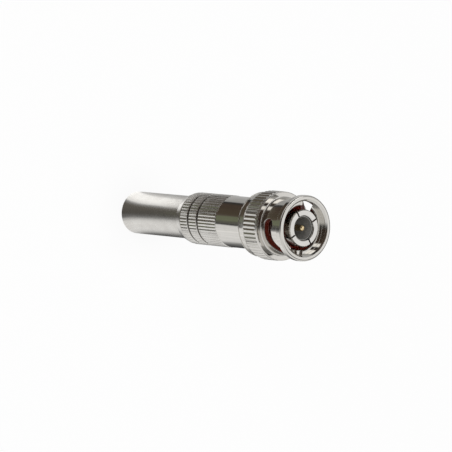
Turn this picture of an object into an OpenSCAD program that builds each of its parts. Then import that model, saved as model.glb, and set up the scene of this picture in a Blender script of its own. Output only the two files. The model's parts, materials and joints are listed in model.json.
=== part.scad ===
// Bayonet coaxial plug, standing on its tail end with the mating mouth up.
// Depths are measured back from the front rim of the coupling nut, and the
// tail's end face lies on the plane z = 0.

/* [Coupling nut] */
// Bore of the nut, which passes over the mating jack's barrel
nut_bore_d = 9.8; // [9.7:0.05:9.9]
// Outside of the nut's front barrel, which carries the two bayonet slots
barrel_d = 12.4; // [12.2:0.1:12.8]
// Outside of the front flange
flange_d = 14.3; // [13.9:0.1:15]
// Thickness of the front flange
flange_t = 1.55; // [1.3:0.05:1.8]
// Width of the mouth at the front rim
mouth_d = 12.5; // [12.2:0.05:12.8]
// Depth of the mouth, back to the step that guides the jack
mouth_depth = 1.45; // [1.2:0.05:1.7]
// Depth of the shoulder between the barrel and the grip
shoulder_depth = 7.6; // [7.3:0.1:8]
// Length of the smooth collar in front of the grip's teeth
grip_collar = 0.5; // [0.3:0.05:0.8]
// Diameter over the grip's teeth
grip_d = 15.1; // [14.7:0.1:16]
// Depth at which the grip's teeth end
grip_end = 12.5; // [11.5:0.1:12.9]
// Teeth round the grip
grip_teeth = 50; // [40:2:60]
// Height of the grip's teeth
grip_tooth_h = 0.2; // [0.1:0.01:0.3]
// Diameter of the nut's rear lip
nut_rear_d = 14.2; // [13.9:0.1:14.8]
// Nut's length behind the retaining ring
nut_lip = 0.45; // [0.3:0.05:0.8]

/* [Bayonet slots] */
// Diameter of the hole that a lug drops into
detent_d = 2.6; // [2.3:0.1:2.8]
// Depth of that hole's centre
detent_depth = 5.3; // [4.9:0.1:5.4]
// Width of the channel that leads there
channel_w = 2.3; // [2.1:0.05:2.4]
// Turn from the entry to the hole, in degrees
lock_turn = 88; // [80:1:92]
// Part of that turn without any rise, in degrees
dwell_turn = 20; // [10:1:25]

/* [Outer contact] */
// Outside of the spring fingers
finger_d = 8.1; // [8:0.05:8.2]
// How far the fingers' tips lie behind the rim
finger_recess = 0.5; // [0.3:0.1:0.8]
// Inside of the fingers' thick tips
finger_lip_d = 5.44; // [5.3:0.02:5.6]
// Length of those tips
finger_lip_len = 1.2; // [0.8:0.1:1.6]
// Length of the cuts between the fingers
finger_cut_len = 6; // [5:0.5:7]
// Width of the cuts between the fingers
finger_cut_w = 0.35; // [0.25:0.05:0.5]
// Relief behind the fingers' tips, on the radius
finger_relief = 0.1; // [0.05:0.01:0.15]
// Depth of the seat that the gasket and the nut rest on
seat_depth = 11.4; // [11.2:0.1:11.8]
// Diameter of the seat's flange
seat_d = 12.3; // [12:0.05:12.5]
// Thickness of the seat's flange
seat_t = 0.8; // [0.6:0.1:1]
// Diameter of the spigot behind the flange
spigot_d = 9.1; // [8.8:0.1:9.4]
// Length of the spigot inside the rear body
spigot_len = 5.8; // [4.5:0.1:6.5]

/* [Coupling springs] */
// Free height of one wave washer
wave_h = 0.4; // [0.35:0.01:0.5]
// Thickness of its spring strip
wave_t = 0.14; // [0.1:0.01:0.2]
// Waves round one washer
waves = 3; // [3:1:4]
// Thickness of the spacer washer between the two wave washers
spacer_t = 0.2; // [0.15:0.05:0.4]
// Thickness of the thrust washer behind them
thrust_t = 0.4; // [0.3:0.05:0.6]
// Thickness of the retaining ring
ring_t = 0.4; // [0.3:0.05:0.6]
// Radial width of the retaining ring
ring_w = 0.9; // [0.7:0.05:1]
// Depth of its groove in the nut's wall
groove_depth = 0.35; // [0.2:0.05:0.35]
// Opening of the retaining ring, in degrees
ring_gap = 24; // [15:1:40]

/* [Gasket] */
// Length of the gasket in front of the seat
gasket_len = 1.5; // [1.2:0.1:1.8]

/* [Rear body] */
// Outside of the smooth rear body
body_d = 11.3; // [10.8:0.1:11.8]
// Length of the smooth rear body
body_len = 9.7; // [8:0.1:12]
// Diameter of the thread that takes the tail sleeve
thread_d = 9.8; // [9.5:0.1:10]
// Length of that thread
thread_len = 6.6; // [5:0.1:8]
// Bore of the thread's end, where the cable's core comes through
core_bore_d = 5; // [4.4:0.1:5.2]

/* [Insulators and centre pin] */
// Outside of both insulators
insulator_d = 6.9; // [6.7:0.05:7]
// How far the front insulator lies behind the rim
insulator_recess = 1; // [0.8:0.1:1.4]
// Length of the front insulator
front_insulator_len = 12; // [11:0.1:13]
// Length of the rear insulator
rear_insulator_len = 9.5; // [8:0.1:11]
// Bore that passes over the jack's inner insulator
socket_d = 4.94; // [4.85:0.01:5]
// Depth of that bore behind the rim
socket_depth = 6.3; // [5.5:0.1:7]
// Diameter of the centre pin
pin_d = 1.35; // [1.3:0.01:1.4]
// How far the pin's tip lies behind the rim
pin_recess = 0.7; // [0.4:0.1:1]
// Diameter of the pin inside the front insulator
pin_root_d = 1.8; // [1.5:0.1:2.2]
// Diameter of the collar held between the insulators
collar_d = 2.6; // [2.2:0.1:3]
// Length of that collar
collar_len = 1.5; // [1:0.1:2]
// Diameter of the pin's rear shaft
shaft_d = 2; // [1.8:0.1:2.1]
// Diameter of the solder cup
cup_d = 2.4; // [2.2:0.1:2.8]
// Length of the solder cup
cup_len = 5.2; // [4:0.1:6]

/* [Cable clamp] */
// Length of the clamp behind the rear body
clamp_len = 15; // [12:0.5:20]
// Thickness of the clamp's sheet
clamp_t = 0.4; // [0.3:0.05:0.5]
// Width of each pair of claws that folds round the cable
claw_w = 2.4; // [1.8:0.1:3]
// Gap between both pairs of claws
claw_gap = 1.2; // [0.8:0.1:2]
// Length of the collar that is pressed on the rear body's end
clamp_collar = 1.2; // [0.8:0.1:1.6]

// How far the trough reaches round the cable, in degrees
trough_span = 110; // [80:5:150]
// How far the front claws reach round the cable, in degrees
front_claw_span = 250; // [200:5:300]
// How far the rear claws reach round the cable, in degrees
rear_claw_span = 280; // [200:5:320]

/* [Tail sleeve] */
// Length of the tail sleeve
tail_len = 34.75; // [30:0.05:45]
// Diameter over the tail's teeth
tail_grip_d = 11.5; // [11:0.1:12]
// Length of the toothed part
tail_grip_len = 12.4; // [11.5:0.1:15]
// Teeth round the tail
tail_teeth = 50; // [40:2:60]
// Height of the tail's teeth
tail_tooth_h = 0.12; // [0.08:0.01:0.2]
// Width of the two grooves across the teeth
tail_groove_w = 0.5; // [0.3:0.05:0.8]
// Distance of the front groove from the tail's front end
front_groove_at = 6.2; // [5:0.1:7]
// Distance of the rear groove from the tail's front end
rear_groove_at = 9.4; // [8.4:0.1:10]
// Length of the cone behind the teeth
cone_len = 1.9; // [1.4:0.1:2.6]
// Diameter of the cone's small end
cone_d = 10.4; // [10:0.1:10.8]
// Outside of the long tube
tube_d = 9.45; // [9.2:0.05:9.8]
// Wall of the long tube
tube_wall = 0.63; // [0.5:0.01:0.7]
// Bore at the tail's end, where the cable comes in
entry_d = 6.6; // [6.2:0.1:7]
// Length of that bore
entry_len = 3; // [2:0.1:5]
// Wall of the insulating sleeve inside the tube
sleeve_wall = 0.5; // [0.4:0.05:0.6]

/* [Hidden] */
$fn = 96;

// Clearances on the radius or along the axis, and the least wall over a groove
run = 0.05;
press = 0.01;
washer_run = 0.1;
thread_run = 0.05;
clamp_run = 0.1;
sleeve_run = 0.1;
gasket_gap = 0.15;
finger_play = 0.2;
part_gap = 0.15;
groove_wall = 0.3;

// Edges, roundings and small steps
cut_over = 0.5;
fine_edge = 0.1;
edge = 0.15;
rim_round = 0.4;
flange_rear_round = 0.12;
flange_cove = 0.25;
shoulder_cove = 0.3;
collar_edge = 0.12;
collar_drop = 0.05;
mouth_edge = 0.35;
bore_edge = 0.2;
slot_edge = 0.2;
slot_seam = 0.02;
tooth_crest = 0.22;
tooth_sink = 0.04;
tooth_seam = 0.1;
grip_lead = 0.3;
grip_run_out = 0.65;
neck_drop = 0.12;
rear_lip = 0.25;
finger_nose = 0.3;
finger_nose_drop = 0.18;
finger_lip_edge = 0.12;
finger_land = 0.6;
finger_slope = 0.6;
lip_slope = 0.2;
gasket_round = 0.2;
neck_gap = 0.1;
nose_len = 0.75;
cup_wall = 0.35;
cup_web = 0.3;
cup_opening = 0.55;
thread_lead = 0.35;
thread_neck = 0.5;
body_web = 1.2;
tail_tooth_ramp = 0.2;
tail_rear_drop = 0.05;
tail_rear_band = 0.25;
tail_cove = 0.35;
tail_end_round = 0.4;
tail_mouth = 0.3;
entry_edge = 0.3;

// Radii
nut_bore_r = nut_bore_d / 2;
finger_r = finger_d / 2;
finger_base_r = finger_r - finger_relief;
finger_lip_r = finger_lip_d / 2;
insulator_r = insulator_d / 2;
shell_bore_r = insulator_r + press;
spigot_r = spigot_d / 2;
seat_r = seat_d / 2;
cavity_r = seat_r + run;
groove_r = cavity_r + groove_depth;
body_r = body_d / 2;
thread_r = thread_d / 2;
tube_r = tube_d / 2;
tube_bore_r = tube_r - tube_wall;
sleeve_r = tube_bore_r - sleeve_run;
sleeve_bore_r = sleeve_r - sleeve_wall;
clamp_r = sleeve_bore_r - clamp_run;
clamp_bore_r = clamp_r - clamp_t;
mouth_rear_r = mouth_d / 2 - mouth_edge;
nut_neck_r = max(nut_rear_d / 2 - neck_drop, groove_r + groove_wall);
nut_rear_r = nut_neck_r + neck_drop;
grip_r = grip_d / 2;
grip_root_r = grip_r - grip_tooth_h;
grip_core_r = grip_root_r - tooth_sink;
collar_r = grip_r - collar_drop;
tail_grip_r = tail_grip_d / 2;
tail_root_r = tail_grip_r - tail_tooth_h;
tail_core_r = tail_root_r - tooth_sink;
thread_bore_r = thread_r + thread_run;

// Depth of the teeth's front ends
teeth_at = shoulder_depth + grip_collar;

// Depths of the stack from the seat to the nut's rear edge
front_wave_at = seat_depth + seat_t + run;
spacer_at = front_wave_at + wave_h;
rear_wave_at = spacer_at + spacer_t;
thrust_at = rear_wave_at + wave_h;
ring_at = thrust_at + thrust_t;
ring_end = ring_at + ring_t;
nut_len = ring_end + nut_lip;
body_at = ring_end + part_gap;
tail_at = body_at + body_len;
thread_end = tail_at + thread_len;
total_len = tail_at + tail_len;

// Depths of the outer contact's parts
lip_end = finger_recess + finger_lip_len;
relief_at = lip_end + finger_land;
cuts_end = finger_recess + finger_cut_len;
spigot_end = body_at + spigot_len;

// Depths of the insulators and the pin
collar_at = insulator_recess + front_insulator_len;
rear_insulator_at = collar_at + collar_len;
rear_insulator_end = rear_insulator_at + rear_insulator_len;
cup_at = rear_insulator_end + part_gap;
cup_end = cup_at + cup_len;

// Depths of the clamp and of the step that the sleeve rests on
clamp_at = thread_end;
clamp_end = clamp_at + clamp_len;
entry_at = total_len - entry_len;

// The slots' entries lie a lock turn away from the holes
slot_mid_r = (nut_bore_r + barrel_d / 2) / 2;
cam_rise = detent_depth + 0.1;
first_detent = 270;

// Where patterns start, in degrees
first_grip_valley = 5.7;
first_tail_valley = 6;
first_finger_cut = 35.6;
ring_gap_at = 90;

// A profile's point from its radius and its depth behind the rim
function at(r, depth) = [r, total_len - depth];

// Block of a profile between two radii and two depths, with round outer edges
module band(r1, r2, d1, d2, front = 0, rear = 0) {
    difference() {
        polygon([at(r1, d1), at(r2, d1), at(r2, d2), at(r1, d2)]);
        if (front > 0) edge_cut(r2, d1, front, 1);
        if (rear > 0) edge_cut(r2, d2, rear, -1);
    }
}

// What rounding takes off an outer edge; way is 1 on a front edge, -1 on a rear one
module edge_cut(r, d, f, way) {
    difference() {
        translate(at(r - f, d + way * f) - [0, way < 0 ? f + 1 : 0]) square([f + 1, f + 1]);
        translate(at(r - f, d + way * f)) circle(r = f, $fn = 48);
    }
}

// Concave fillet at the foot of a face; way is 1 behind the face, -1 in front of it
module cove(r, d, f, way) {
    difference() {
        translate(at(r - edge, d) - [0, way > 0 ? f : 0]) square([f + edge, f]);
        translate(at(r + f, d + way * f)) circle(r = f, $fn = 48);
    }
}

// Outline of straight teeth with narrow crests, turned so that a valley lies at start
module teeth(r, h, n, start) {
    step = 360 / n;
    corners = [[0, r - h], [0.5 - tooth_crest / 2, r], [0.5 + tooth_crest / 2, r]];
    polygon([for (i = [0 : n - 1], c = corners)
        c[1] * [cos(start + (i + c[0]) * step), sin(start + (i + c[0]) * step)]]);
}

// Toothed ring between two depths, trimmed by the revolved profile given as a child
module toothed_band(r, h, n, start, inner_r, d1, d2) {
    intersection() {
        translate([0, 0, total_len - d2]) linear_extrude(height = d2 - d1) difference() {
            teeth(r, h, n, start);
            circle(r = inner_r);
        }
        rotate_extrude() children();
    }
}

module tube_ring(r1, r2, d1, d2) {
    rotate_extrude() polygon([at(r1, d1), at(r2, d1), at(r2, d2), at(r1, d2)]);
}

// Depth of a channel's middle line, where turn is counted from the hole
function channel_depth(turn) = turn < dwell_turn ? detent_depth + 0.1 :
    detent_depth + 0.1 - cam_rise * pow((turn - dwell_turn) / (lock_turn - dwell_turn), 2);

// Both edges of the channel at one turn, as pairs of turn and depth
function channel_edges(turn) = let (
    slope = (channel_depth(turn + 0.5) - channel_depth(turn - 0.5)) / (slot_mid_r * PI / 180),
    len = sqrt(1 + slope * slope),
    half = channel_w / 2
) [for (side = [-1, 1])
    [turn - side * half * slope / len * 180 / PI / slot_mid_r,
     channel_depth(turn) + side * half / len]];

function ring_point(r, turn, depth) = [r * cos(turn), r * sin(turn), total_len - depth];

// Curved channel through the wall, from the detent hole to the mouth
module channel(r1, r2) {
    steps = 18;
    turns = [for (i = [0 : steps]) lock_turn * i / steps];
    points = [for (t = turns, e = channel_edges(t), r = [r1, r2])
        ring_point(r, first_detent + e[0], e[1])];
    sides = [for (i = [0 : steps - 1], q = [[0, 1, 3, 2]], k = [0 : 3])
        let (a = 4 * i + q[k], b = 4 * i + q[(k + 1) % 4])
        each [[a, b + 4, b], [a, a + 4, b + 4]]];
    last = 4 * steps;
    polyhedron(points, concat(sides, [[0, 3, 2], [0, 1, 3]],
        [[last, last + 2, last + 3], [last, last + 3, last + 1]]));
}

// Everything that one lug needs: entry, channel and detent hole
module bayonet_slot() {
    intersection() {
        union() {
            channel(nut_bore_r - cut_over, barrel_d / 2 + cut_over);
            rotate([0, 0, first_detent + lock_turn])
                translate([nut_bore_r - cut_over, -channel_w / 2,
                    total_len - mouth_depth - cut_over])
                cube([barrel_d / 2, channel_w, mouth_depth + 2 * cut_over]);
        }
        rotate_extrude() polygon([at(0, -1), at(mouth_rear_r - slot_seam, -1),
            at(mouth_rear_r - slot_seam, flange_t + flange_cove),
            at(barrel_d, flange_t + flange_cove), at(barrel_d, shoulder_depth),
            at(0, shoulder_depth)]);
    }
    rotate([0, 0, first_detent]) translate([0, 0, total_len - detent_depth]) rotate([0, 90, 0]) {
        translate([0, 0, nut_bore_r - cut_over]) cylinder(d = detent_d, h = barrel_d / 2);
        translate([0, 0, barrel_d / 2 - slot_edge])
            cylinder(d1 = detent_d, d2 = detent_d + 2 * cut_over, h = cut_over);
    }
}

module nut_outline() {
    band(0, flange_d / 2, 0, flange_t, rim_round, flange_rear_round);
    band(0, barrel_d / 2, 0, shoulder_depth + 1);
    cove(barrel_d / 2, flange_t, flange_cove, 1);
    cove(barrel_d / 2, shoulder_depth, shoulder_cove, -1);
    polygon([at(0, shoulder_depth), at(collar_r - collar_edge, shoulder_depth),
        at(collar_r, shoulder_depth + collar_edge), at(collar_r, teeth_at),
        at(grip_core_r, teeth_at), at(grip_core_r, grip_end), at(nut_neck_r, grip_end),
        at(nut_neck_r, nut_len - rear_lip), at(nut_rear_r, nut_len - rear_lip),
        at(nut_rear_r, nut_len - fine_edge), at(nut_rear_r - fine_edge, nut_len),
        at(0, nut_len)]);
}

module nut_hollow() {
    polygon([at(0, -1), at(mouth_d / 2, -1), at(mouth_d / 2, 0), at(mouth_rear_r, mouth_edge),
        at(mouth_rear_r, mouth_depth), at(0, mouth_depth)]);
    polygon([at(0, 0), at(nut_bore_r + bore_edge, 0), at(nut_bore_r + bore_edge, mouth_depth),
        at(nut_bore_r, mouth_depth + bore_edge), at(nut_bore_r, nut_len), at(0, nut_len)]);
    polygon([at(0, seat_depth - run / 2), at(cavity_r, seat_depth - run / 2),
        at(cavity_r, nut_len - edge), at(cavity_r + edge, nut_len),
        at(cavity_r + edge, nut_len + 1), at(0, nut_len + 1)]);
    polygon([at(0, ring_at - press), at(groove_r, ring_at - press),
        at(groove_r, ring_end + press), at(0, ring_end + press)]);
}

module coupling_nut() {
    color("#a9a69f") difference() {
        union() {
            rotate_extrude() difference() {
                nut_outline();
                nut_hollow();
            }
            toothed_band(grip_r, grip_tooth_h, grip_teeth, first_grip_valley,
                (cavity_r + grip_core_r) / 2, teeth_at - tooth_seam / 2,
                grip_end - tooth_seam / 2)
                polygon([at(0, teeth_at - tooth_seam), at(grip_core_r, teeth_at - tooth_seam),
                    at(grip_r, teeth_at + grip_lead), at(grip_r, grip_end - grip_run_out),
                    at(grip_core_r - tooth_sink, grip_end), at(0, grip_end)]);
        }
        for (side = [0, 180]) rotate([0, 0, side]) bayonet_slot();
    }
}

module retaining_ring() {
    color("#8d8f92") difference() {
        tube_ring(groove_r - press - ring_w, groove_r - press, ring_at, ring_end);
        rotate([0, 0, ring_gap_at - ring_gap / 2]) translate([0, 0, total_len - ring_end - 1])
            linear_extrude(height = ring_t + 2)
            polygon([[0, 0], [2 * cavity_r, 0],
                2 * cavity_r * [cos(ring_gap), sin(ring_gap)]]);
    }
}

module flat_washer(depth, t) {
    tube_ring(spigot_r + washer_run, cavity_r - washer_run, depth, depth + t);
}

module thrust_washer() {
    color("#b9b7b0") flat_washer(thrust_at, thrust_t);
}

module spacer_washer() {
    color("#b9b7b0") flat_washer(spacer_at, spacer_t);
}

// Spring strip that runs round in waves between the two depths of its free height
module wave_washer(depth) {
    steps = 16 * waves;
    crest = (wave_h - wave_t) / 2;
    r1 = spigot_r + washer_run;
    r2 = cavity_r - washer_run;
    mid = depth + wave_h / 2;
    points = [for (i = [0 : steps - 1], r = [r1, r2], half = [-1, 1])
        ring_point(r, i * 360 / steps,
            mid + crest * cos(waves * i * 360 / steps) + half * wave_t / 2)];
    faces = [for (i = [0 : steps - 1], q = [[0, 1, 3, 2]], k = [0 : 3])
        let (a = 4 * i + q[k], b = 4 * i + q[(k + 1) % 4],
            c = (b + 4) % (4 * steps), d = (a + 4) % (4 * steps))
        each [[a, b, c], [a, c, d]]];
    polyhedron(points, faces);
}

module wave_washer_front() {
    color("#9b9a94") wave_washer(front_wave_at);
}

module wave_washer_rear() {
    color("#9b9a94") wave_washer(rear_wave_at);
}

module gasket() {
    color("#6e1712") rotate_extrude() difference() {
        band(finger_base_r + run, nut_bore_r - gasket_gap, seat_depth - gasket_len, seat_depth,
            gasket_round);
        translate(at(finger_base_r + run, seat_depth - gasket_len)) rotate(45)
            square(gasket_round, center = true);
    }
}

module outer_contact() {
    color("#c9c6bf") difference() {
        rotate_extrude() difference() {
            union() {
                polygon([at(0, finger_recess), at(finger_r - finger_nose_drop, finger_recess),
                    at(finger_r, finger_recess + finger_nose), at(finger_r, relief_at),
                    at(finger_base_r, relief_at + finger_slope),
                    at(finger_base_r, seat_depth + seat_t / 2), at(0, seat_depth + seat_t / 2)]);
                band(0, seat_r, seat_depth, seat_depth + seat_t, fine_edge, fine_edge);
                band(0, spigot_r, seat_depth, spigot_end, 0, edge);
            }
            polygon([at(0, 0), at(finger_lip_r + finger_lip_edge, 0),
                at(finger_lip_r + finger_lip_edge, finger_recess),
                at(finger_lip_r, finger_recess + finger_lip_edge), at(finger_lip_r, lip_end),
                at(shell_bore_r, lip_end + lip_slope), at(shell_bore_r, spigot_end + 1),
                at(0, spigot_end + 1)]);
        }
        for (k = [0 : 3]) rotate([0, 0, first_finger_cut + 90 * k])
            translate([0, -finger_cut_w / 2, total_len - cuts_end])
            cube([finger_r + 1, finger_cut_w, finger_cut_len + 1]);
    }
}

module front_insulator() {
    neck_r = finger_lip_r - neck_gap;
    flare = lip_end + lip_slope + run;
    root_bore_r = pin_root_d / 2 + press;
    color("#3c3b38") rotate_extrude() difference() {
        union() {
            band(0, neck_r, insulator_recess, flare + edge, press);
            band(0, insulator_r - finger_play, flare, collar_at, fine_edge);
            band(0, insulator_r, cuts_end + finger_play, collar_at, fine_edge);
        }
        polygon([at(0, 0), at(socket_d / 2, 0), at(socket_d / 2, socket_depth),
            at(root_bore_r, socket_depth), at(root_bore_r, collar_at + 1),
            at(0, collar_at + 1)]);
    }
}

module rear_insulator() {
    color("#e4e2dc") tube_ring(shaft_d / 2 + press, insulator_r, rear_insulator_at,
        rear_insulator_end);
}

// Half of the pin's round nose, as points from the tip to its full radius
function pin_nose(r, len, steps) = [for (i = [0 : steps])
    at(r * sin(90 * i / steps), pin_recess + len * (1 - cos(90 * i / steps)))];

module centre_pin() {
    color("#c79a4b") difference() {
        rotate_extrude() {
            polygon(concat(pin_nose(pin_d / 2, nose_len, 8),
                [at(pin_d / 2, socket_depth), at(pin_root_d / 2, socket_depth),
                 at(pin_root_d / 2, collar_at), at(collar_d / 2, collar_at),
                 at(collar_d / 2, rear_insulator_at), at(shaft_d / 2, rear_insulator_at),
                 at(shaft_d / 2, cup_at), at(cup_d / 2, cup_at + fine_edge),
                 at(cup_d / 2, cup_end), at(cup_d / 2 - cup_wall, cup_end),
                 at(cup_d / 2 - cup_wall, cup_at + cup_len * cup_web),
                 at(0, cup_at + cup_len * cup_web)]));
        }
        translate([0, -cup_d, total_len - cup_end - 1])
            cube([cup_d, 2 * cup_d, cup_len * cup_opening + 1]);
    }
}

module rear_body() {
    bore_end = rear_insulator_end + body_web;
    bore_step = shell_bore_r - core_bore_d / 2;
    lead_r = thread_r - thread_lead;
    step_at = spigot_end + part_gap;
    color("#a9a69f") rotate_extrude() difference() {
        union() {
            band(0, body_r, body_at, tail_at, edge, fine_edge);
            band(0, lead_r, tail_at, thread_end);
            polygon([at(0, tail_at + thread_neck), at(lead_r, tail_at + thread_neck),
                at(thread_r, tail_at + thread_neck + thread_lead),
                at(thread_r, thread_end - thread_lead), at(lead_r, thread_end),
                at(0, thread_end)]);
            band(0, clamp_bore_r - press, thread_end - edge, thread_end + clamp_collar + edge,
                0, fine_edge);
        }
        polygon([at(0, 0), at(spigot_r + press, 0), at(spigot_r + press, step_at),
            at(shell_bore_r, step_at), at(shell_bore_r, bore_end),
            at(core_bore_d / 2, bore_end + bore_step / 2),
            at(core_bore_d / 2, clamp_end), at(0, clamp_end)]);
    }
}

// What is cut from the clamp between two depths, so that a strip as wide as span stays
module clamp_window(d1, d2, span) {
    rotate([0, 0, span / 2]) rotate_extrude(angle = 360 - span)
        polygon([at(1, d1), at(clamp_r + 1, d1), at(clamp_r + 1, d2), at(1, d2)]);
}

module cable_clamp() {
    rear_claw = clamp_end - claw_w;
    front_claw = rear_claw - claw_gap - claw_w;
    color("#b9b7b0") difference() {
        tube_ring(clamp_bore_r, clamp_r, clamp_at, clamp_end);
        clamp_window(clamp_at + clamp_collar, front_claw, trough_span);
        clamp_window(front_claw, front_claw + claw_w, front_claw_span);
        clamp_window(front_claw + claw_w, rear_claw, trough_span);
        clamp_window(rear_claw, clamp_end + 1, rear_claw_span);
    }
}

module insulating_sleeve() {
    color("#d9dcd8") tube_ring(sleeve_bore_r, sleeve_r, thread_end + part_gap, entry_at - run);
}

// Outline of the tail's teeth, with both grooves and the chamfered ends of each part
module tail_grip_outline() {
    low = tail_root_r - tooth_sink / 2;
    ends = [0, front_groove_at, front_groove_at + tail_groove_w, rear_groove_at,
        rear_groove_at + tail_groove_w, tail_grip_len];
    for (k = [0, 2, 4], front = tail_at + ends[k], rear = tail_at + ends[k + 1])
        polygon([at(0, front), at(low, front), at(tail_grip_r, front + tail_tooth_ramp),
            at(tail_grip_r, rear - tail_tooth_ramp), at(low, rear), at(0, rear)]);
}

module tail_sleeve() {
    cone_at = tail_at + tail_grip_len;
    cone_end = cone_at + cone_len;
    cone_r = tail_grip_r - tail_rear_drop;
    mouth_end = tail_at + tail_mouth;
    relief_end = thread_end + part_gap;
    color("#b5b2aa") {
        rotate_extrude() difference() {
            union() {
                band(0, tail_core_r, tail_at, cone_at + edge);
                polygon([at(0, cone_at), at(cone_r, cone_at), at(cone_r, cone_at + tail_rear_band),
                    at(cone_d / 2, cone_end), at(0, cone_end)]);
                band(0, tube_r, cone_at, total_len, 0, tail_end_round);
                cove(tube_r, cone_end, tail_cove, 1);
            }
            polygon([at(0, 0), at(thread_bore_r + tail_mouth, 0),
                at(thread_bore_r + tail_mouth, mouth_end),
                at(thread_bore_r, mouth_end + tail_mouth), at(thread_bore_r, relief_end),
                at(tube_bore_r, relief_end + thread_bore_r - tube_bore_r),
                at(tube_bore_r, entry_at), at(entry_d / 2, entry_at),
                at(entry_d / 2, total_len - entry_edge), at(entry_d / 2 + entry_edge, total_len),
                at(entry_d / 2 + entry_edge, total_len + 1), at(0, total_len + 1)]);
        }
        toothed_band(tail_grip_r, tail_tooth_h, tail_teeth, first_tail_valley,
            (thread_bore_r + tail_core_r) / 2, tail_at, cone_at)
            tail_grip_outline();
    }
}

coupling_nut();
retaining_ring();
thrust_washer();
wave_washer_rear();
spacer_washer();
wave_washer_front();
gasket();
outer_contact();
front_insulator();
rear_insulator();
centre_pin();
rear_body();
cable_clamp();
insulating_sleeve();
tail_sleeve();
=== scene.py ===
import json
import math
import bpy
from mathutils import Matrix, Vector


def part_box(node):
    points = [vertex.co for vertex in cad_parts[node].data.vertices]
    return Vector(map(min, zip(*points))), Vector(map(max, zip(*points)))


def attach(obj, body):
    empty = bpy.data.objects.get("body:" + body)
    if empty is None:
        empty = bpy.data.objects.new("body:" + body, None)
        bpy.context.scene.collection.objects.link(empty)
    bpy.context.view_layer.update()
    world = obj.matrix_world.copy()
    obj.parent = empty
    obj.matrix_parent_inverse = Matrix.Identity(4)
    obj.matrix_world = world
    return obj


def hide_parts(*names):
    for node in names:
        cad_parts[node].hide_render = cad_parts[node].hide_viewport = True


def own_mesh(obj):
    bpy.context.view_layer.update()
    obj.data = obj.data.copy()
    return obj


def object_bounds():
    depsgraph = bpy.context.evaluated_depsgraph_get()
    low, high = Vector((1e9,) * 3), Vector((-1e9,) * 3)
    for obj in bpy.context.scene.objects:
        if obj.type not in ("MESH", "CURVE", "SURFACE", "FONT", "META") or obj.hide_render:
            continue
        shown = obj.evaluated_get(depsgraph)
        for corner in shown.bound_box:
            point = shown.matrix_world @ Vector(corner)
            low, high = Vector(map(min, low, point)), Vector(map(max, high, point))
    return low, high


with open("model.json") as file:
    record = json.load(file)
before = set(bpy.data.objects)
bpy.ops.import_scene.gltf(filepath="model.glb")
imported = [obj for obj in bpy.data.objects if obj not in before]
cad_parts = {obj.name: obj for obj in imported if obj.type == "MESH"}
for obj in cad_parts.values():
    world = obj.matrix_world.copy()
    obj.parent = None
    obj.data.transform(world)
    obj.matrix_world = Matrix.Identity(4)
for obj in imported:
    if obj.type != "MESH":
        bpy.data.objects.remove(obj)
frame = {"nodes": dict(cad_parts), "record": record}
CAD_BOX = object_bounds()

from types import SimpleNamespace

import bmesh
import bpy
from mathutils import Matrix, Vector

MM = 0.001
RIM_Z = CAD_BOX[1][2] / MM  # height of the nut's front rim, from which depths are measured back
NODES = frame["nodes"]
RECORD = frame["record"]
scene = bpy.context.scene
scene.view_settings.view_transform = "Standard"
scene.cycles.max_bounces = 24
scene.cycles.glossy_bounces = 20
scene.cycles.diffuse_bounces = 6


# Camera: it looks into the mouth, with the plug's axis lying across the frame
TILT = math.radians(39.5)       # angle between the line of sight and the plug's axis
ROLL = math.radians(5.57)
DISTANCE = 0.9
AIM_BACK, AIM_UP = 17.13, 0.52  # the picture's centre, from the rim's centre along the frame

toward = Vector((0, -math.sin(TILT), math.cos(TILT)))
right = Vector((-math.sin(ROLL), math.cos(ROLL) * math.cos(TILT), math.cos(ROLL) * math.sin(TILT)))
up = Vector((-math.cos(ROLL), -math.sin(ROLL) * math.cos(TILT), -math.sin(ROLL) * math.sin(TILT)))
aim = Vector((0, 0, CAD_BOX[1][2])) - AIM_BACK * MM * right + AIM_UP * MM * up
camera = bpy.data.objects.new("camera", bpy.data.cameras.new("camera"))
camera.data.lens = 333.3
camera.data.sensor_width = 36
camera.data.clip_start = 0.05
camera.data.clip_end = 20
camera.matrix_world = Matrix.Translation(aim + DISTANCE * toward) @ Matrix((
    (right.x, up.x, toward.x, 0), (right.y, up.y, toward.y, 0), (right.z, up.z, toward.z, 0),
    (0, 0, 0, 1)))
scene.collection.objects.link(camera)
scene.camera = camera


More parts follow.
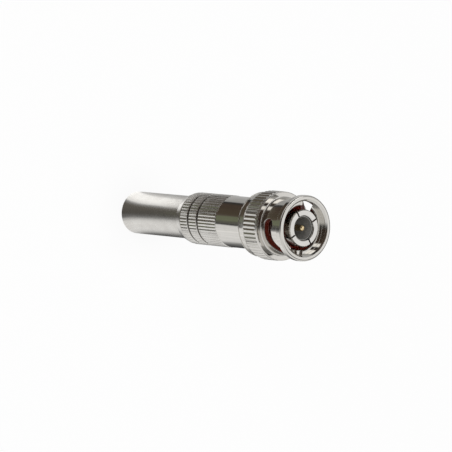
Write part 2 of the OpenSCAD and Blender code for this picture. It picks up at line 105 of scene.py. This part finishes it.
# Node helpers
class Net:
    """A node tree that is written as calls: each call adds a node and returns an output of it."""

    def __init__(self, tree):
        self.tree = tree
        tree.nodes.clear()

    def feed(self, node, inputs):
        """Gives a node's inputs, by index or name, each a value or a link from another output."""
        for key, value in inputs:
            if isinstance(value, bpy.types.NodeSocket):
                self.tree.links.new(value, node.inputs[key])
            else:
                node.inputs[key].default_value = value

    def add(self, kind, inputs=(), out=0, **props):
        node = self.tree.nodes.new(kind)
        for key, value in props.items():
            setattr(node, key, value)
        self.feed(node, inputs.items() if isinstance(inputs, dict) else enumerate(inputs))
        return node.outputs[out] if node.outputs else node

    def math(self, operation, *values):
        return self.add("ShaderNodeMath", values, operation=operation)

    def plus(self, first, *others):
        for other in others:
            first = self.math("ADD", first, other)
        return first

    def times(self, first, *others):
        for other in others:
            first = self.math("MULTIPLY", first, other)
        return first

    def scaled(self, vector, factors):
        return self.add("ShaderNodeVectorMath", (vector, factors), operation="MULTIPLY")

    def split(self, vector):
        return self.add("ShaderNodeSeparateXYZ", (vector,)).node.outputs[:3]

    def from_axis(self, x, y):
        return self.math("SQRT", self.plus(self.times(x, x), self.times(y, y)))

    def mix(self, factor, a, b):
        node = self.tree.nodes.new("ShaderNodeMix")
        node.data_type = "RGBA"
        self.feed(node, ((0, factor), (6, a), (7, b)))
        return node.outputs[2]

    def between(self, value, low, high, to_low=0.0, to_high=1.0, smooth=True):
        return self.add("ShaderNodeMapRange", (value, low, high, to_low, to_high),
                        interpolation_type="SMOOTHSTEP" if smooth else "LINEAR")

    def inside(self, value, low, high, soft):
        """1 where a value lies between two limits, with soft edges."""
        return self.times(self.between(value, low - soft, low + soft),
                          self.between(value, high - soft, high + soft, 1.0, 0.0))

    def noise(self, vector, scale, detail=2.0, rough=0.5):
        return self.add("ShaderNodeTexNoise", {"Vector": vector, "Scale": scale,
                                               "Detail": detail, "Roughness": rough})

    def ramp(self, factor, stops):
        node = self.tree.nodes.new("ShaderNodeValToRGB")
        ramp = node.color_ramp
        ramp.interpolation = "EASE"
        while len(ramp.elements) < len(stops):
            ramp.elements.new(0.5)
        for element, (at, colour) in zip(ramp.elements, stops):
            element.position = at
            element.color = (*colour, 1) if isinstance(colour, tuple) else (colour,) * 3 + (1,)
        self.tree.links.new(factor, node.inputs[0])
        return node.outputs[0]


NOISE = (0.3, 0.7)            # the span that most of a noise texture fills


def material(name):
    made = bpy.data.materials.new(name)
    made.use_nodes = True
    return made, Net(made.node_tree)


def rgb(r, g, b):
    return (r, g, b, 1)


# Studio: bare metal shows its room, which is painted on the floor and the world and seen only in
# reflections. A table gives what stands at an angle, in degrees from -Y towards -X, as a grey or
# a colour
BROWN = (0.075, 0.055, 0.042)
OLIVE = (0.17, 0.16, 0.13)
GREEN = (0.18, 0.195, 0.13)


def turn_stops(pairs):
    return [((angle / 180 + 1) / 2, colour) for angle, colour in sorted(pairs)]


# The floor: near the plug, where the tail's tube mirrors it; further off, for the tail's grip, the
# body and the barrel; for the nut's grip, in between; and out in the open
NEAR_ROOM = turn_stops([
    (-180, 0.05), (-140, 0.07), (-122, 0.12), (-108, 0.28), (-96, 0.62), (-82, 0.88), (-60, 0.95),
    (-32, 0.9), (-24, 0.6), (-14, 0.17), (0, (0.10, 0.095, 0.085)), (28, (0.14, 0.13, 0.115)),
    (36, 0.3), (44, 1.05), (58, 1.36), (86, 1.3), (98, 0.7), (125, 0.5), (160, 0.4), (180, 0.12)])
FAR_ROOM = turn_stops([
    (-180, 0.05), (-142, 0.07), (-126, 0.14), (-116, 0.26), (-106, 0.45), (-94, 0.84),
    (-80, 0.92), (-24, 0.92), (-15, 0.07), (-5, (0.13, 0.13, 0.11)), (3, GREEN), (14, GREEN),
    (20, (0.12, 0.10, 0.08)), (28, (0.085, 0.068, 0.048)), (70, BROWN), (84, 0.04), (92, 0.42),
    (150, 0.55), (180, 0.2)])
GRIP_ROOM = turn_stops([
    (-180, 0.05), (-140, 0.08), (-124, 0.12), (-112, 0.3), (-100, 0.7), (-90, 0.88),
    (-24, 0.9), (-13, 0.8), (-4, 0.4), (6, 0.3), (18, OLIVE), (30, (0.16, 0.15, 0.12)),
    (60, (0.22, 0.21, 0.17)), (80, 0.08), (92, 0.42), (150, 0.45), (180, 0.2)])
OPEN_ROOM = turn_stops([
    (-180, 0.35), (-150, 0.8), (-100, 0.92), (-40, 0.8), (-15, 0.2), (8, 0.16), (34, 0.7),
    (80, 0.95), (120, 0.75), (148, 0.2), (165, 0.3)])

# The walls, low and high
LOW_ROOM = turn_stops([
    (-180, 0.10), (-165, 0.12), (-140, 0.75), (-100, 0.85), (-20, 0.8), (-6, 0.10), (10, BROWN),
    (60, BROWN), (96, 0.05), (112, 0.5), (150, 0.45), (168, 0.10)])
HIGH_ROOM = turn_stops([
    (-180, 0.92), (-170, 0.9), (-158, 0.2), (-130, 0.2), (-114, 0.33), (-104, 0.4), (-92, 0.85),
    (-34, 0.78), (-14, 0.10), (0, (0.06, 0.045, 0.036)), (58, BROWN),
    (66, 1.5), (76, 1.4), (82, 0.05), (96, BROWN), (104, 1.6), (128, 1.6), (140, 0.35),
    (158, 0.6), (172, 0.92)])

# Distances from the axis, in metres, over which one floor table fades into the next
NEAR_TO_FAR = (0.022, 0.0245)
FAR_TO_GRIP = (0.045, 0.0456)
GRIP_TO_FAR = (0.049, 0.050)
FAR_TO_OPEN = (0.062, 0.085)
# Heights on the world's unit sphere, in the same way
LOW_TO_HIGH = (0.5, 0.7)
HIGH_TO_CEILING = (0.86, 0.97)
CEILING = rgb(0.92, 0.92, 0.92)

FLOOR_PATCHES = 55.0          # soft patches to a metre
EDGE_WANDER = 0.012           # how far the tables' edges wander in them, in turns
SHADE_WANDER = 0.10           # and how far their brightness does
STREAKS_PER_TURN = 60.0
STREAK_SHADE = (0.82, 1.12)

DAYLIGHT = rgb(0.46, 0.46, 0.46)  # the world's light on what isn't a mirror
WHITE = rgb(1, 1, 1)
FLOOR_HALF = 3.0
FLOOR_GREY = rgb(0.86, 0.86, 0.86)
FLOOR_WHITENESS = 0.9         # share of plain white that the camera sees, over the shaded floor


def turn_of(net, x, y):
    """The angle of a place or a way, from -Y towards -X, as the tables' stops have it."""
    turn = net.math("ARCTAN2", net.times(x, -1.0), net.times(y, -1.0))
    return net.between(turn, -math.pi, math.pi, smooth=False)


def floor_room(net, place):
    """What metal sees of the room below the horizon."""
    x, y, _ = net.split(place)
    radius = net.from_axis(x, y)
    soft = net.noise(place, FLOOR_PATCHES, 3.0)
    turn = net.plus(turn_of(net, x, y),
                    net.between(soft, *NOISE, -EDGE_WANDER, EDGE_WANDER, smooth=False))
    colour = net.mix(net.between(radius, *NEAR_TO_FAR),
                     net.ramp(turn, NEAR_ROOM), net.ramp(turn, FAR_ROOM))
    at_grip = net.times(net.between(radius, *FAR_TO_GRIP),
                        net.between(radius, *GRIP_TO_FAR, 1.0, 0.0))
    colour = net.mix(at_grip, colour, net.ramp(turn, GRIP_ROOM))
    colour = net.mix(net.between(radius, *FAR_TO_OPEN), colour, net.ramp(turn, OPEN_ROOM))
    around = net.add("ShaderNodeCombineXYZ", (net.times(turn, STREAKS_PER_TURN), 0.0, 0.0))
    shade = net.plus(net.between(soft, 0.25, 0.75, -SHADE_WANDER, SHADE_WANDER, smooth=False),
                     net.between(net.noise(around, 1.0), *NOISE, *STREAK_SHADE, smooth=False))
    return net.add("ShaderNodeVectorMath", {0: colour, "Scale": shade}, operation="SCALE")


def build_floor():
    mesh = bpy.data.meshes.new("floor")
    s = FLOOR_HALF
    mesh.from_pydata([(-s, -s, 0), (s, -s, 0), (s, s, 0), (-s, s, 0)], [], [(0, 1, 2, 3)])
    floor = bpy.data.objects.new("floor", mesh)
    scene.collection.objects.link(floor)
    made, net = material("floor")
    place = net.add("ShaderNodeNewGeometry", out="Position")
    ray = net.add("ShaderNodeLightPath").node.outputs
    plain = net.add("ShaderNodeBsdfDiffuse", (FLOOR_GREY, 0.6))
    white = net.add("ShaderNodeEmission", (WHITE, 1.0))
    seen = net.add("ShaderNodeEmission", (floor_room(net, place), 1.0))
    shown = net.times(ray["Is Camera Ray"], FLOOR_WHITENESS)
    body = net.add("ShaderNodeMixShader", (shown, plain, white))
    whole = net.add("ShaderNodeMixShader", (ray["Is Glossy Ray"], body, seen))
    net.add("ShaderNodeOutputMaterial", (whole,))
    mesh.materials.append(made)


def build_world():
    world = bpy.data.worlds.new("room")
    world.use_nodes = True
    scene.world = world
    net = Net(world.node_tree)
    x, y, height = net.split(net.add("ShaderNodeTexCoord", out="Generated"))
    turn = turn_of(net, x, y)
    walls = net.mix(net.between(height, *LOW_TO_HIGH),
                    net.ramp(turn, LOW_ROOM), net.ramp(turn, HIGH_ROOM))
    room = net.mix(net.between(height, *HIGH_TO_CEILING), walls, CEILING)
    ray = net.add("ShaderNodeLightPath").node.outputs
    colour = net.mix(ray["Is Glossy Ray"], DAYLIGHT, room)
    shown = net.math("MAXIMUM", ray["Is Camera Ray"], ray["Is Transmission Ray"])
    colour = net.mix(shown, colour, WHITE)
    net.add("ShaderNodeOutputWorld", (net.add("ShaderNodeBackground", (colour, 1.0)),))


def add_lamp(name, place, aim_at, size, watts):
    light = bpy.data.lights.new(name, "AREA")
    light.size = size
    light.energy = watts
    lamp = bpy.data.objects.new(name, light)
    lamp.location = place
    lamp.rotation_euler = (Vector(aim_at) - Vector(place)).to_track_quat("-Z", "Y").to_euler()
    lamp.visible_glossy = False
    scene.collection.objects.link(lamp)


build_floor()
build_world()
add_lamp("key", (-0.15, -0.5, 0.66), aim_at=(0, 0, 0.05), size=0.5, watts=2.0)
add_lamp("fill", (0.6, 0.5, 0.5), aim_at=(0, 0, 0.03), size=0.7, watts=0.4)
add_lamp("top", (0, 0, 0.6), aim_at=(0, 0, 0), size=0.12, watts=1.2)


# Materials. Their nodes work in millimetres. A zone is a ring where a piece has another finish,
# painted shade or a painted reflection:
# two radii, two depths behind the rim, and how soft its limits are on the radius and in depth
FINGER_SIDES = ((3.86, 4.2), (0.4, 11), 0.02, 0.1)
FINGER_FOOT = (6.2, 7.6)      # depths over which the painted red reflection of the gasket sets in on the fingers
SLOT_WALLS = ((4.93, 6.08), (3.0, 7.4), 0.02, 0.3)
SLOT_LIP = ((6.0, 6.17), (3.0, 7.2), 0.01, 0.1)
TAIL_GROOVES = ((5.4, 5.605), (28.65, 34.65), 0.015, 0.1)
NUT_TEETH = (8.35, 11.8)      # depths

# Painted reflection: a dark red that stands for the red gasket mirrored in the slots' cut walls
# and on the fingers' foot
PAINTED_RED_REFLECTION, PAINTED_DARK_RED_REFLECTION = rgb(0.155, 0.017, 0.007), rgb(0.11, 0.012, 0.005)
CUT_METALLIC = 0.4
FINGER_DULL, FINGER_BRIGHT = rgb(0.46, 0.44, 0.40), rgb(0.74, 0.72, 0.68)
LIP_GREY = rgb(0.30, 0.28, 0.26)
# Painted shade for the floors of the tail's ring grooves
PAINTED_GROOVE_SHADE = rgb(0.11, 0.10, 0.085)
RELIEF = 0.004                # height of the metal's finest marks


def coords(net):
    """A place in the object in millimetres, its height and its distance from the axis."""
    place = net.scaled(net.add("ShaderNodeTexCoord", out="Object"), (1 / MM, 1 / MM, 1 / MM))
    x, y, z = net.split(place)
    return place, z, net.from_axis(x, y)


def in_zone(look, radii, depths, soft_radius, soft_depth):
    return look.net.times(look.net.inside(look.radius, *radii, soft_radius),
                          look.net.inside(look.depth, *depths, soft_depth))


def rolled_teeth(look):
    """The nut's teeth are rolled, and so pitted and duller."""
    net = look.net
    rolled = net.inside(look.depth, *NUT_TEETH, 0.05)
    pits = net.noise(net.scaled(look.place, (2.2, 2.2, 1.1)), 1.0)
    look.relief = net.plus(look.relief, net.times(pits, net.times(rolled, 3.0)))
    look.roughness = net.plus(look.roughness, net.times(rolled, 0.09))


def painted_groove_shade(look):
    """The floors of the tail's ring grooves are duller, and darkened with painted shade."""
    net = look.net
    floor = in_zone(look, *TAIL_GROOVES)
    look.colour = net.mix(floor, look.colour, PAINTED_GROOVE_SHADE)
    look.roughness = net.plus(look.roughness, net.times(floor, 0.25))


def finger_sides(look):
    """The spring fingers' sides are turned and not polished, and carry a painted red reflection of
    the gasket at their foot.
    """
    net = look.net
    side = in_zone(look, *FINGER_SIDES)
    foot = net.between(look.depth, *FINGER_FOOT)
    spots = net.noise(net.scaled(look.place, (1.6, 1.6, 3.0)), 1.0, 3.0)
    dull = net.mix(net.between(spots, 0.42, 0.58), FINGER_DULL, FINGER_BRIGHT)
    look.colour = net.mix(side, look.colour, net.mix(foot, dull, PAINTED_RED_REFLECTION))
    look.metallic = net.between(net.times(side, foot), 0.0, 1.0, 1.0, CUT_METALLIC)
    look.roughness = net.plus(look.roughness, net.times(side, 0.12))


def slot_walls(look):
    """The bayonet slots' cut walls carry a painted reflection of the red gasket, dark red as in
    the photo, up to a thin grey lip.
    """
    net = look.net
    cut, lip = in_zone(look, *SLOT_WALLS), in_zone(look, *SLOT_LIP)
    look.colour = net.mix(cut, look.colour, net.mix(look.fine, PAINTED_RED_REFLECTION, PAINTED_DARK_RED_REFLECTION))
    look.colour = net.mix(lip, look.colour, LIP_GREY)
    look.metallic = net.between(cut, 0.0, 1.0, 1.0, CUT_METALLIC)
    look.roughness = net.plus(look.roughness, net.times(net.math("MAXIMUM", cut, lip), 0.4))


def metal(name, tints, rough, turned=0.0, brushed=0.0, round_edge=0.05, zones=()):
    """Plated metal: faint patches, turning marks round the axis, streaks along it."""
    made, net = material(name)
    place, z, radius = coords(net)
    patch = net.noise(place, 0.35, 3.0)
    fine = net.noise(place, 6.0, 4.0, 0.6)
    marks = net.noise(net.add("ShaderNodeCombineXYZ", (radius, 0.0, z)), 9.0, 3.0, 0.65)
    streaks = net.noise(net.scaled(place, (9.0, 9.0, 0.35)), 1.0, 3.0, 0.6)
    level = net.plus(net.times(patch, 0.5), net.times(fine, 0.5))
    look = SimpleNamespace(
        net=net, place=place, radius=radius, depth=net.math("SUBTRACT", RIM_Z, z), fine=fine,
        colour=net.mix(net.between(patch, *NOISE), *tints),
        roughness=net.between(level, *NOISE, rough * 0.7, rough * 1.35),
        relief=net.plus(net.times(marks, turned), net.times(streaks, brushed),
                        net.times(patch, 0.25)),
        metallic=1.0)
    for zone in zones:
        zone(look)
    edges = net.add("ShaderNodeBevel", {"Radius": round_edge * MM}, samples=6)
    bump = net.add("ShaderNodeBump", {"Height": look.relief, "Strength": 1.0,
                                      "Distance": RELIEF * MM, "Normal": edges})
    shader = net.add("ShaderNodeBsdfPrincipled", {
        "Base Color": look.colour, "Metallic": look.metallic, "Roughness": look.roughness,
        "Normal": bump})
    net.add("ShaderNodeOutputMaterial", (shader,))
    return made


def plastic(name, tints, rough, grain, subsurface=0.0, transmission=0.0):
    """Moulded plastic or rubber: soft mottling and a fine grain."""
    made, net = material(name)
    place, *_ = coords(net)
    patch = net.noise(place, 0.8, 3.0)
    fine = net.noise(place, 14.0, 3.0, 0.6)
    bump = net.add("ShaderNodeBump", {"Height": fine, "Strength": 1.0, "Distance": grain * MM})
    shader = net.add("ShaderNodeBsdfPrincipled", {
        "Base Color": net.mix(net.between(patch, *NOISE), *tints),
        "Roughness": net.between(fine, *NOISE, rough * 0.8, rough * 1.2), "Normal": bump,
        "Subsurface Weight": subsurface, "Subsurface Scale": 0.5 * MM,
        "Transmission Weight": transmission})
    net.add("ShaderNodeOutputMaterial", (shader,))
    return made


POLISHED = rgb(0.70, 0.68, 0.645), rgb(0.67, 0.65, 0.61)
BRIGHT = rgb(0.76, 0.745, 0.715), rgb(0.73, 0.71, 0.68)
SATIN = rgb(0.72, 0.705, 0.67), rgb(0.68, 0.66, 0.625)
GOLD = rgb(0.95, 0.76, 0.46), rgb(0.90, 0.70, 0.40)
STEEL = rgb(0.60, 0.59, 0.57), rgb(0.55, 0.54, 0.52)
RED = rgb(0.34, 0.034, 0.018), rgb(0.28, 0.026, 0.014)
DARK = rgb(0.265, 0.26, 0.246), rgb(0.215, 0.21, 0.198)
PALE = rgb(0.82, 0.81, 0.78), rgb(0.78, 0.77, 0.73)
CLEAR = rgb(0.80, 0.83, 0.81), rgb(0.77, 0.80, 0.78)
METALS = {
    "nut_nickel": dict(tints=POLISHED, rough=0.075, turned=0.5, round_edge=0.1,
                       zones=(rolled_teeth, slot_walls)),
    "polished_nickel": dict(tints=POLISHED, rough=0.075, turned=0.5),
    "bright_nickel": dict(tints=BRIGHT, rough=0.11, turned=0.5),
    "contact_nickel": dict(tints=BRIGHT, rough=0.11, turned=0.5, zones=(finger_sides,)),
    "satin_nickel": dict(tints=SATIN, rough=0.26, turned=0.2, brushed=1.0,
                         zones=(painted_groove_shade,)),
    "gold": dict(tints=GOLD, rough=0.09, turned=0.3),
    "spring_steel": dict(tints=STEEL, rough=0.25, turned=0.6, brushed=0.4),
}
PLASTICS = {
    "red_silicone": dict(tints=RED, rough=0.42, grain=0.01, subsurface=0.1),
    "dark_plastic": dict(tints=DARK, rough=0.42, grain=0.006),
    "white_plastic": dict(tints=PALE, rough=0.4, grain=0.006, subsurface=0.1),
    "clear_plastic": dict(tints=CLEAR, rough=0.3, grain=0.004, transmission=0.6),
}
MATERIALS = {name: metal(name, **look) for name, look in METALS.items()}
MATERIALS |= {name: plastic(name, **look) for name, look in PLASTICS.items()}


def dress(obj, name):
    obj.data.materials.clear()
    obj.data.materials.append(MATERIALS[name])
    for polygon in obj.data.polygons:
        polygon.material_index = 0


for part in RECORD["subparts"]:
    dress(NODES[part["node"]], part["material_slot"])
dress(NODES["coupling_nut"], "nut_nickel")
dress(NODES["outer_contact"], "contact_nickel")


# Right-handed screw thread between the rear body and the tail, in millimetres
PITCH = 0.75
THREAD_DEPTH = 0.42
THREAD_R = 4.9                # of the body's crests
THREAD_BORE_R = 4.95          # of the tail's bore
CREST_HALF = PITCH / 16
FLANK_SLOPE = math.sqrt(3)    # of flanks that stand 60 degrees apart
ROWS = 12                     # rows of faces to a turn's pitch
SEGMENTS = 144                # faces round the axis
ANGLES = [2 * math.pi * i / SEGMENTS for i in range(SEGMENTS)]
SAME_PLACE = 1e-4             # corners nearer than this are one
SHARP = math.radians(25)

# The rear body's radii and depths behind the rim, which repeat the part's
BODY_AT, TAIL_AT, THREAD_END, BODY_END = 14.2, 23.9, 30.5, 31.7
BODY_R, LEAD_R, END_R = 5.65, 4.55, 2.985
THREAD_NECK = 0.5
RIDGES_AT, RIDGES_END = 24.5, 30.6  # of the thread in the tail
SPIGOT_BORE_R, SPIGOT_BORE_END = 4.56, 20.15
SHELL_BORE_R, SHELL_BORE_END = 3.46, 25.2
CORE_BORE_R, CORE_BORE_AT = 2.5, 25.68
EDGE, FINE_EDGE = 0.15, 0.1
FRONT_MIDDLE = (5.606, 14.244)  # the middle points of the three rounded edges
REAR_MIDDLE, END_MIDDLE = (5.62, 23.87), (2.956, 31.67)
FLAT_SHADE = 0.03             # from a rounding to the loop that keeps it off the long side


def corner(bm, r, angle, z):
    return bm.verts.new((r * math.cos(angle), r * math.sin(angle), z))


def spin(bm, profile):
    """Surface of revolution through the profile's points, each a radius and a height."""
    rings = [[corner(bm, r, angle, z) for angle in ANGLES] for r, z in profile]
    for a, b in zip(rings, rings[1:]):
        for i in range(SEGMENTS):
            j = (i + 1) % SEGMENTS
            bm.faces.new((a[i], a[j], b[j], b[i]))


def rounded(r, depth, size, middle):
    """Round outer edge, through its middle point, from the end face at a depth to the side."""
    way = 1 if middle[1] > depth else -1
    return [(r - size, depth), middle, (r, depth + way * size)]


def thread_shape(phase):
    """Depth below the crest, from 0 to THREAD_DEPTH, at a phase in turns from the root."""
    off_crest = abs(phase % 1.0 - 0.5) * PITCH - CREST_HALF
    return min(max(off_crest, 0.0) * FLANK_SLOPE, THREAD_DEPTH)


def helix_rings(bm, low, high, radius_at):
    """Rows of a threaded surface that run along the helix, cut square at both heights.

    radius_at gives the radius from the phase, the distance from the nearer end, and whether the
    point is on or beyond an end.
    """
    rows = []
    for k in range(int((high - low) / PITCH + 2) * ROWS + 1):
        row = []
        for i, angle in enumerate(ANGLES):
            z = low + (k / ROWS - 1 + i / SEGMENTS) * PITCH
            z_cut = min(max(z, low), high)
            r = radius_at(k / ROWS, min(z_cut - low, high - z_cut), not low < z < high)
            row.append(corner(bm, r, angle, z_cut))
        rows.append(row)
    for k, (a, b) in enumerate(zip(rows, rows[1:])):
        for i in range(SEGMENTS - 1):
            bm.faces.new((a[i], a[i + 1], b[i + 1], b[i]))
        if k + 1 + ROWS < len(rows):  # where a turn closes, the helix has risen by a pitch
            bm.faces.new((a[-1], rows[k + ROWS][0], rows[k + 1 + ROWS][0], b[-1]))


def finished(bm, name, slot_name, body, replaced=()):
    """Joins a mesh made in millimetres, sets its shading and puts it on its body."""
    bmesh.ops.remove_doubles(bm, verts=bm.verts, dist=SAME_PLACE)
    bmesh.ops.dissolve_degenerate(bm, edges=bm.edges, dist=SAME_PLACE)
    bmesh.ops.recalc_face_normals(bm, faces=bm.faces)
    bmesh.ops.scale(bm, vec=(MM, MM, MM), verts=bm.verts)
    mesh = bpy.data.meshes.new(name)
    bm.to_mesh(mesh)
    bm.free()
    mesh.shade_smooth()
    mesh.set_sharp_from_angle(angle=SHARP)
    obj = bpy.data.objects.new(name, mesh)
    scene.collection.objects.link(obj)
    mesh.materials.append(MATERIALS[slot_name])
    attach(obj, body)
    if replaced:
        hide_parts(*replaced)
    return obj


def build_rear_body():
    """The smooth body with its thread."""
    neck_end = TAIL_AT + THREAD_NECK
    low, high = RIM_Z - THREAD_END, RIM_Z - neck_end

    def male(phase, from_end, cut):
        return LEAD_R if cut else min(THREAD_R - thread_shape(phase), LEAD_R + from_end)

    bm = bmesh.new()
    helix_rings(bm, low, high, male)
    side = [
        *rounded(BODY_R, TAIL_AT, FINE_EDGE, REAR_MIDDLE),
        (BODY_R, TAIL_AT - FINE_EDGE - FLAT_SHADE), (BODY_R, BODY_AT + EDGE + FLAT_SHADE),
        *reversed(rounded(BODY_R, BODY_AT, EDGE, FRONT_MIDDLE))]
    spin(bm, [(r, RIM_Z - depth) for r, depth in (
        (LEAD_R, neck_end), (LEAD_R, TAIL_AT), *side, (SPIGOT_BORE_R, BODY_AT),
        (SPIGOT_BORE_R, SPIGOT_BORE_END), (SHELL_BORE_R, SPIGOT_BORE_END),
        (SHELL_BORE_R, SHELL_BORE_END), (CORE_BORE_R, CORE_BORE_AT), (CORE_BORE_R, BODY_END),
        *rounded(END_R, BODY_END, FINE_EDGE, END_MIDDLE), (END_R, THREAD_END),
        (LEAD_R, THREAD_END))])
    finished(bm, "rear_body_threaded", "polished_nickel", "plug", ["rear_body"])


def build_tail_thread():
    """The thread's ridges inside the tail, which run in the body's grooves."""
    low, high = RIM_Z - RIDGES_END, RIM_Z - RIDGES_AT
    wall_r, tip_r, clearance = 5.0, 4.5, 0.07
    shift = (low - (RIM_Z - THREAD_END)) / PITCH

    def female(phase, from_end, cut):
        ridge_r = max(THREAD_R + clearance - thread_shape(phase + shift), tip_r)
        return min(max(THREAD_BORE_R if cut else ridge_r, THREAD_BORE_R - from_end),
                   THREAD_BORE_R)

    bm = bmesh.new()
    helix_rings(bm, low, high, female)
    spin(bm, [(THREAD_BORE_R, high), (wall_r, high), (wall_r, low), (THREAD_BORE_R, low)])
    finished(bm, "tail_thread", "satin_nickel", "tail")


# Wave washers, in millimetres
WASHER_INNER, WASHER_OUTER = 4.65, 6.05
WASHER_HALF = 0.07            # half the strip's thickness
WASHER_EDGE = 0.03
WAVES = 3


def build_wave_washer(name, node, body):
    """Wave washer with rounded strip edges."""
    (_, _, z0), (_, _, z1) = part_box(node)
    middle, swing = (z0 + z1) / 2 / MM, (z1 - z0) / 2 / MM - WASHER_HALF
    upper = [(WASHER_OUTER, WASHER_EDGE), (WASHER_OUTER - WASHER_EDGE, WASHER_HALF),
             (WASHER_INNER + WASHER_EDGE, WASHER_HALF), (WASHER_INNER, WASHER_EDGE)]
    section = [(r, -h) for r, h in reversed(upper)] + upper
    bm = bmesh.new()
    rings = []
    for angle in ANGLES:
        lift = middle + swing * math.cos(WAVES * angle)
        rings.append([corner(bm, r, angle, lift + h) for r, h in section])
    for a, b in zip(rings, rings[1:] + rings[:1]):
        for k in range(len(section)):
            j = (k + 1) % len(section)
            bm.faces.new((a[k], b[k], b[j], a[j]))
    washer = finished(bm, name, "spring_steel", body, [node])
    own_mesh(washer)


build_rear_body()
build_tail_thread()
build_wave_washer("wave_spring_front", "wave_washer_front", "plug")
build_wave_washer("wave_spring_rear", "wave_washer_rear", "spacer")
